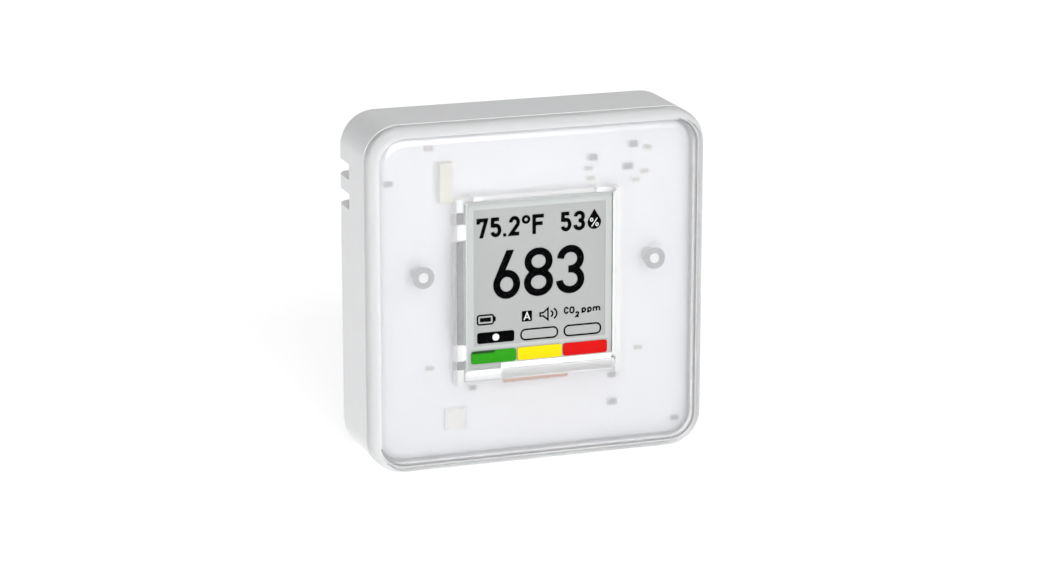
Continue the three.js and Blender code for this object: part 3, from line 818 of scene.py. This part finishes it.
class MONITOR_OT_display(bpy.types.Operator):
    """Finishes the display stack: film, glass, chip, tape, flex, tray and colour bars"""

    bl_idname = "monitor.display"
    bl_label = "Display stack"

    def execute(self, context):
        film = tablet((0.12, 38.7), (27.45, 27.7), -9.98, -9.965, 0.1)
        piece("epaper_film_sheet", film, "paper", ("epaper_film",))
        laminate = tablet((0, 37.7), (31.0, 33.2), -9.97, -9.61, 0.3)
        piece("display_laminate", laminate, "glass", edge=0.02)
        cloth = tablet((3.65, 19.55), (23.3, 3.1), -9.99, -9.975, 0.2)
        piece("display_tape_strip", cloth, "tape", ("display_tape",))
        lip = tablet((0, 19.1), (31.4, 1.8), -9.99, -9.98, 0.3)
        piece("display_lower_lip", lip, "holder")
        side = tablet((15.95, 37.4), (1.5, 34), -9.97, -9.75, 0.2)
        piece("display_side_lip", side, "holder", edge=0.05)
        # Dark grey strips just left of the display, and soft grey strips further left and deeper:
        # painted shade of the tray's shaded left wall, fading out to the left.
        for name, low, high in (("low", 20.6, 22.3), ("middle", 25.7, 46.7), ("high", 50.1, 52.4)):
            strip = tablet((-16.6, (low + high) / 2), (1.5, high - low), -9.93, -9.74, 0.2)
            piece(f"display_edge_shade_{name}", strip, "dark_painted_shade", edge=0.03)
            flap = tablet((-17.8, (low + high) / 2), (0.8, high - low), -9.6, -9.4, 0.2)
            piece(f"display_edge_shade_fade_{name}", flap, "painted_shade", edge=0.03)
        bend = tablet((-1, 17.85), (13.6, 0.5), -9.93, -9.5, 0.2, 0.15)
        piece("display_flex_bend", bend, "flex")
        softened("epaper_glass", "glass", 0.06)
        softened("display_driver_chip", "package", 0.05)
        softened("display_holder", "holder", 0.05)
        softened("flex_socket", "black", 0.15)
        softened("display_flex", "flex", 0.0)
        for name, look in (("green", "green"), ("yellow", "yellow"), ("red", "red")):
            softened(f"status_bar_{name}", look, 0.03)
        return {"FINISHED"}


class MONITOR_OT_display_art(bpy.types.Operator):
    """Writes the reading on the display: temperature, humidity, the large number and icons"""

    bl_idname = "monitor.display_art"
    bl_label = "Display reading"

    def execute(self, context):
        sizes = context.scene.monitor_sizes
        big = sizes.big_stroke / MM
        small = sizes.small_stroke / MM
        fine = sizes.fine_stroke / MM
        row = (46.8, 50.8)

        number = [glyph(digit, left, right, 34.1, 44.0, big) for digit, left, right in (
            ("6", -9.6, -3.95), ("8", -3.2, 2.95), ("3", 3.5, 9.5))]
        piece("reading_level", join(*number), "ink")

        warm = [glyph("7", -13.0, -10.6, *row, small), glyph("5", -10.2, -7.85, *row, small),
                filled([(-7.5, 46.8), (-6.85, 46.8), (-6.85, 47.45), (-7.5, 47.45)]),
                glyph("2", -6.3, -4.0, *row, small),
                ribbon(arc(-2.75, 49.9, 0.62, 0.62, 0, 345), 0.56, True),
                glyph("F", -1.45, 1.1, *row, small)]
        piece("reading_temperature", join(*warm), "ink")

        drop = arc(11.52, 48.25, 1.42, 1.42, 152, 388, 36) + [(11.52, 50.95)]
        damp = [glyph("5", 4.4, 6.75, *row, small), glyph("3", 7.1, 9.6, *row, small),
                filled(drop)]
        piece("reading_humidity", join(*damp), "ink")

        level = INK_Y - INK_THICK
        percent = [ribbon(arc(10.95, 48.75, 0.26, 0.3, 0, 340, 16), 0.2, True),
                   ribbon(arc(12.1, 47.75, 0.26, 0.3, 0, 340, 16), 0.2, True),
                   ribbon([(10.95, 47.35), (12.15, 49.1)], 0.2)]
        letter = [ribbon([(-3.15, 29.45), (-2.55, 30.95), (-1.95, 29.45)], 0.24),
                  ribbon([(-2.95, 29.95), (-2.15, 29.95)], 0.2)]
        dot = filled(arc(-9.05, 26.5, 0.7, 0.7, 0, 345, 24))
        for name, bm, look in (("reading_blanks", join(*percent, *letter), "blank"),
                               ("reading_dot", dot, "dot")):
            bmesh.ops.translate(bm, vec=(0, level - INK_Y, 0), verts=bm.verts)
            piece(name, bm, look)
        # A dark green strip across the top of the green bar's left end.
        dark_strip = filled(rounded_outline(-14.1, -9.35, 23.5, 24.0, 0.2), -10.415, 0.01)
        piece("green_bar_dark_strip", dark_strip, "dark_strip")

        battery = [ribbon(rounded_outline(-12.85, -9.55, 29.3, 31.15, 0.4), fine, True),
                   filled(rounded_outline(-12.35, -10.05, 29.8, 30.65, 0.1)),
                   filled(rounded_outline(-9.4, -9.05, 29.75, 30.75, 0.1))]
        mode = [filled(rounded_outline(-3.62, -1.5, 29.15, 31.3, 0.12))]
        horn = [(0.2, 29.95), (0.85, 29.95), (1.85, 29.1), (1.85, 31.45), (0.85, 30.6),
                (0.2, 30.6)]
        sound = [ribbon(horn, fine, True), ribbon(arc(1.9, 30.27, 0.95, 0.75, -55, 55, 12), fine),
                 ribbon(arc(2.1, 30.27, 1.6, 1.3, -52, 52, 16), fine)]
        pills = [filled(rounded_outline(-12.95, -5.2, 25.35, 27.65, 0.5)),
                 ribbon(rounded_outline(-3.8, 3.85, 25.4, 27.5, 0.95), fine, True),
                 ribbon(rounded_outline(5.3, 12.95, 25.4, 27.5, 0.95), fine, True)]
        piece("reading_icons", join(*battery, *mode, *sound, *pills), "ink")

        unit = [glyph("C", 5.2, 6.2, 29.9, 31.4, fine, False),
                glyph("O", 6.35, 7.45, 29.9, 31.4, fine, False),
                glyph("2", 7.6, 8.45, 29.05, 30.3, fine),
                glyph("p", 8.9, 9.9, 29.9, 31.0, fine, False),
                glyph("p", 10.1, 11.1, 29.9, 31.0, fine, False),
                glyph("m", 11.25, 12.9, 29.95, 31.0, fine)]
        piece("reading_unit", join(*unit), "ink")

        edge = box((13.8, INK_Y, 25.0), (13.9, INK_Y + 0.01, 52.3))
        piece("active_area_edge", edge, "print")
        return {"FINISHED"}


# ---------------------------------------------------------------- board and parts

# Small parts on the front of the board: middle x and z, width, height, thickness and finish.
FRONT_PARTS = [
    (-21.9, 64.9, 1.6, 0.8, 0.45, "tan"), (-30.1, 58.5, 1.6, 1.0, 0.5, "chip"),
    (12.0, 60.8, 2.0, 1.2, 0.6, "chip"), (11.2, 58.6, 1.6, 0.8, 0.4, "tan"),
    (11.6, 56.6, 1.6, 0.8, 0.4, "tan"), (20.5, 62.9, 2.0, 1.2, 0.6, "chip"),
    (23.6, 62.0, 1.6, 0.8, 0.4, "tan"), (19.4, 58.5, 2.0, 1.2, 0.6, "chip"),
    (23.0, 57.2, 1.6, 0.8, 0.4, "tan"), (21.0, 55.6, 1.6, 0.8, 0.4, "tan"),
    (-13.1, 15.8, 1.4, 0.9, 0.5, "chip"), (-16.7, 9.75, 4.2, 4.2, 0.45, "ceramic"),
    (-22.0, 20.6, 1.6, 0.8, 0.4, "tan"), (16.4, 10.1, 1.8, 1.2, 0.5, "chip"),
    (29.9, 5.4, 1.6, 1.0, 0.45, "chip"), (21.9, 20.9, 1.6, 0.8, 0.4, "tan"),
    (16.4, 15.75, 1.6, 1.0, 0.45, "chip"),
]


class MONITOR_OT_main_board(bpy.types.Operator):
    """Finishes the main board and sets the small parts on its front"""

    bl_idname = "monitor.main_board"
    bl_label = "Main board"

    def execute(self, context):
        softened("main_board", "board", 0.06)
        softened("storage_capacitor", "resin", 0.15)
        bodies = {}
        ends = []
        for x, z, width, height, thick, look in FRONT_PARTS:
            front = BOARD_FRONT - thick
            chip = tablet((x, z), (width * 0.9, height), front, BOARD_FRONT - 0.02, 0.12, 0.08,
                          segments=3)
            bodies.setdefault(look, []).append(chip)
            for side in (-1, 1):
                middle = (x + side * width * 0.45, z)
                ends.append(tablet(middle, (width * 0.2, height * 1.02), front * 0.999,
                                   BOARD_FRONT - 0.01, 0.08, 0.06, segments=3))
        for look, chips in bodies.items():
            piece(f"board_chips_{look}", join(*chips), look)
        piece("board_chip_ends", join(*ends), "solder")
        return {"FINISHED"}


class MONITOR_OT_board_parts(bpy.types.Operator):
    """Finishes the parts on the back of the board: sensor, radio, buzzer and screws"""

    bl_idname = "monitor.board_parts"
    bl_label = "Sensor, radio and buzzer"

    def execute(self, context):
        plan = [
            ("co2_sensor_board", "green_board", "board_green", 0.06),
            ("co2_optical_chamber", "shell", "white_shell", 0.25),
            ("co2_dust_filter", "membrane", "filter_fabric", 0.1),
            ("co2_header_left", "black", "black_plastic", 0.1),
            ("co2_header_right", "black", "black_plastic", 0.1),
            ("radio_module", "tin", "nickel", 0.15),
            ("radio_antenna", "ceramic", "ceramic", 0.1),
            ("power_inductor", "ferrite", "black_plastic", 0.2),
            ("humidity_sensor", "package", "black_plastic", 0.08),
            ("buzzer", "black", "black_plastic", 0.2),
            ("case_screw_left", "zinc", "screw_steel", 0.05),
            ("case_screw_right", "zinc", "screw_steel", 0.05),
        ]
        for name, look, slot, edge in plan:
            softened(name, look, edge)
        return {"FINISHED"}


class MONITOR_OT_controls(bpy.types.Operator):
    """Finishes the three slide switches and the push button"""

    bl_idname = "monitor.controls"
    bl_label = "Switches and button"

    def execute(self, context):
        for name in ("unit", "buzzer", "calibration"):
            softened(f"switch_body_{name}", "tin", 0.1)
            softened(f"switch_slider_{name}", "black", 0.12)
        softened("button_body", "tin", 0.1)
        softened("button_cap", "black", 0.12)
        return {"FINISHED"}


# ---------------------------------------------------------------- cells and contacts


CELL_Y = 3.2
CELL_LENGTH = 50.2
NUB_X = 27.4  # how far from the middle a cell's nub ends
BAND_START = 34.51  # along the cell, from its flat end
CELLS = (("upper", 1, 26.4), ("lower", -1, 10.8))  # each cell's name, its nub's side, its height


def along_x(bm, side, x, z):
    """Lays a body that was turned about Z along X, its far end towards side, from x."""
    bmesh.ops.rotate(
        bm, cent=(0, 0, 0), matrix=Matrix.Rotation(side * math.pi / 2, 3, "Y"), verts=bm.verts)
    bmesh.ops.translate(bm, vec=(x, CELL_Y, z), verts=bm.verts)
    return bm


class MONITOR_OT_cells(bpy.types.Operator):
    """Builds the two AA cells, their springs and their contact plates"""

    bl_idname = "monitor.cells"
    bl_label = "Cells and contacts"

    def execute(self, context):
        sleeve_line = [(5.9, 0.02), (6.6, 0.02), (7.0, 0.25), (7.1, 0.6), (7.1, 11), (7.1, 34.5),
                       (7.1, 34.52), (7.1, 48.4), (6.95, 48.75), (6.5, 48.8), (5.9, 48.8)]
        for name, side, z in CELLS:
            start = side * (NUB_X - CELL_LENGTH)
            sleeve = turned(sleeve_line + [(5.9, 0.02)])
            band = sleeve.loops.layers.color.new("band")
            for face in sleeve.faces:
                in_band = face.calc_center_median().z > BAND_START
                for loop in face.loops:
                    loop[band] = (1, 1, 1, 1) if in_band else (0, 0, 0, 1)
            piece(f"cell_sleeve_{name}", along_x(sleeve, side, start, z), "sleeve",
                  (f"battery_cell_{name}",))
            base = turned([(0, 0), (5.2, 0), (5.6, 0.12), (5.85, 0.3), (5.85, 0.8), (0, 0.8)])
            cap = turned([(0, 48.0), (5.85, 48.0), (5.85, 48.9), (5.2, 49.1), (3.1, 49.1),
                          (2.75, 49.3), (2.75, 49.95), (2.5, 50.2), (0, 50.2)])
            ends = along_x(join(base, cap), side, start, z)
            piece(f"cell_ends_{name}", ends, "nickel", smooth=50)
        for name, side, z in CELLS:
            coil_start, coil_end = 27.28, 22.97
            wide, narrow = 4.4, 2.4
            turns, steps = 3.5, 168
            line = []
            for step in range(steps + 1):
                share = step / steps
                turn = share * turns * 2 * math.pi
                radius = wide + (narrow - wide) * share
                line.append((-side * (coil_start + (coil_end - coil_start) * share),
                             CELL_Y + radius * math.cos(turn), z + radius * math.sin(turn)))
            piece(f"contact_coil_{name}", wire(line, 0.32), "nickel",
                  (f"contact_spring_{name}",))
        for name in ("contact_bridge", "contact_plate_upper", "contact_plate_lower"):
            softened(name, "nickel", 0.08)
        return {"FINISHED"}


def wire(points, radius):
    """Round wire through these points, as a bmesh."""
    curve = bpy.data.curves.new("wire", "CURVE")
    curve.dimensions = "3D"
    curve.bevel_depth = radius
    curve.bevel_resolution = 3
    curve.use_fill_caps = True
    spline = curve.splines.new("POLY")
    spline.points.add(len(points) - 1)
    for point, place in zip(spline.points, points):
        point.co = (*place, 1)
    return curve_mesh(curve)


def curve_mesh(curve):
    """A curve's mesh as a bmesh, and the curve freed."""
    holder = bpy.data.objects.new("line", curve)
    bpy.context.scene.collection.objects.link(holder)
    bpy.context.view_layer.update()
    shown = holder.evaluated_get(bpy.context.evaluated_depsgraph_get())
    bm = bmesh.new()
    bm.from_mesh(shown.to_mesh())
    shown.to_mesh_clear()
    bpy.data.objects.remove(holder)
    bpy.data.curves.remove(curve)
    bmesh.ops.recalc_face_normals(bm, faces=bm.faces)
    return bm


# ---------------------------------------------------------------- stage

AIM = Vector((-0.043, 0.0, 34.848)) * MM
CAMERA_TURN = math.radians(19.007)
CAMERA_RISE = math.radians(14.754)
CAMERA_AWAY = 692.556 * MM
SENSOR = 36.0
LENS = 118.84
FRAME_PARTS = 1048
SHIFT = (1.506, -4.314)  # sideways and up, in these parts of the frame's width
WORLD_LOW = 0.85
WORLD_TOP = 0.37
WORLD_FRONT = 1.1
WORLD_BACK = 0.42
FRONT_POWER = 11.2
BACK_POWER = 1.4
FLOOR_GLOW = 0.55


def area_light(name, place, size, power):
    """One white softbox aimed at the middle of the object."""
    lamp = bpy.data.lights.new(name, "AREA")
    lamp.shape = "RECTANGLE"
    lamp.size, lamp.size_y = size
    lamp.energy = power
    made = bpy.data.objects.new(name, lamp)
    made.location = place
    made.rotation_mode = "QUATERNION"
    way = Vector((0, 0, MID_Z * MM)) - Vector(place)
    made.rotation_quaternion = way.to_track_quat("-Z", "Y")
    bpy.context.scene.collection.objects.link(made)


class MONITOR_OT_stage(bpy.types.Operator):
    """Builds the floor, the lights, the surroundings and the camera"""

    bl_idname = "monitor.stage"
    bl_label = "Stage"

    def execute(self, context):
        scene = context.scene
        bm = bmesh.new()
        bmesh.ops.create_grid(bm, x_segments=2, y_segments=2, size=6)
        floor = loose_object("floor", bm)
        floor.data.materials.append(sweep_finish())

        world = bpy.data.worlds.new("studio")
        scene.world = world
        world.use_nodes = True
        tree = world.node_tree
        tree.nodes.clear()
        way = add_node(tree, "ShaderNodeTexCoord")
        split = add_node(tree, "ShaderNodeSeparateXYZ", links={0: way.outputs["Generated"]})
        rise = add_node(
            tree, "ShaderNodeMapRange", {"interpolation_type": "SMOOTHSTEP"},
            {"From Min": 0.0, "From Max": 0.75, "To Min": WORLD_LOW, "To Max": WORLD_TOP},
            {"Value": split.outputs["Z"]})
        depth = add_node(
            tree, "ShaderNodeMapRange", {"interpolation_type": "SMOOTHSTEP"},
            {"From Min": -0.6, "From Max": 0.8, "To Min": WORLD_FRONT, "To Max": WORLD_BACK},
            {"Value": split.outputs["Y"]})
        glow = add_node(
            tree, "ShaderNodeMath", {"operation": "MULTIPLY"},
            links={0: rise.outputs["Result"], 1: depth.outputs["Result"]})
        sky = add_node(tree, "ShaderNodeBackground", values={"Color": (*linear("#FFFFFF"), 1)},
                       links={"Strength": glow.outputs["Value"]})
        add_node(tree, "ShaderNodeOutputWorld", links={"Surface": sky.outputs["Background"]})

        area_light("front_softbox", (0.02, -1.1, 0.45), (0.8, 0.7), FRONT_POWER)
        area_light("back_softbox", (0.3, 1.0, 0.7), (0.8, 0.8), BACK_POWER)

        camera = bpy.data.cameras.new("camera")
        camera.sensor_width = SENSOR
        camera.lens = LENS
        camera.shift_x, camera.shift_y = (part / FRAME_PARTS for part in SHIFT)
        camera.clip_start, camera.clip_end = 0.01, 20
        made = bpy.data.objects.new("camera", camera)
        back = Vector((-math.sin(CAMERA_TURN) * math.cos(CAMERA_RISE),
                       -math.cos(CAMERA_TURN) * math.cos(CAMERA_RISE), math.sin(CAMERA_RISE)))
        made.location = AIM + back * CAMERA_AWAY
        made.rotation_mode = "QUATERNION"
        made.rotation_quaternion = (-back).to_track_quat("-Z", "Y")
        scene.collection.objects.link(made)
        scene.camera = made
        scene.view_settings.view_transform = "Standard"
        return {"FINISHED"}


def sweep_finish():
    """White acrylic sweep, lit from below: a pale floor with only a faint contact shadow."""
    material, tree = blank_material("acrylic_sweep_white")
    place = add_node(tree, "ShaderNodeTexCoord")
    drift = add_node(tree, "ShaderNodeTexNoise", values={"Scale": 4.0},
                     links={"Vector": place.outputs["Object"]})
    tone = add_node(
        tree, "ShaderNodeMix", {"data_type": "RGBA"},
        {COLOUR_A: (0.9, 0.9, 0.9, 1), COLOUR_B: (0.88, 0.88, 0.88, 1)},
        {0: drift.outputs["Fac"]})
    surface = add_node(
        tree, "ShaderNodeBsdfPrincipled",
        values={"Roughness": 0.6, "Emission Color": (1, 1, 1, 1), "Emission Strength": FLOOR_GLOW},
        links={"Base Color": tone.outputs[MIXED_COLOUR]})
    add_node(tree, "ShaderNodeOutputMaterial", links={"Surface": surface.outputs["BSDF"]})
    return material


# ---------------------------------------------------------------- panel and main

OPERATORS = (
    MONITOR_OT_front_cover, MONITOR_OT_window, MONITOR_OT_rear_housing, MONITOR_OT_rear_cover,
    MONITOR_OT_display, MONITOR_OT_display_art, MONITOR_OT_main_board, MONITOR_OT_board_parts,
    MONITOR_OT_controls, MONITOR_OT_cells, MONITOR_OT_stage,
)


class MONITOR_PT_panel(bpy.types.Panel):
    """Lists the sizes, the colours and every step of the monitor"""

    bl_idname = "MONITOR_PT_panel"
    bl_label = "Air quality monitor"
    bl_space_type = "VIEW_3D"
    bl_region_type = "UI"
    bl_category = "Monitor"

    def draw(self, context):
        layout = self.layout
        for group in (context.scene.monitor_sizes, context.scene.monitor_colours):
            for name in group.__annotations__:
                layout.prop(group, name)
        for operator in OPERATORS:
            layout.operator(operator.bl_idname)


CLASSES = (MonitorSizes, MonitorColours, *OPERATORS, MONITOR_PT_panel)


def register():
    for made in CLASSES:
        bpy.utils.register_class(made)
    bpy.types.Scene.monitor_sizes = PointerProperty(type=MonitorSizes)
    bpy.types.Scene.monitor_colours = PointerProperty(type=MonitorColours)


def unregister():
    del bpy.types.Scene.monitor_colours
    del bpy.types.Scene.monitor_sizes
    for made in reversed(CLASSES):
        bpy.utils.unregister_class(made)


def main():
    register()
    for operator in OPERATORS:
        area, name = operator.bl_idname.split(".")
        getattr(getattr(bpy.ops, area), name)()


if __name__ == "__main__":
    main()
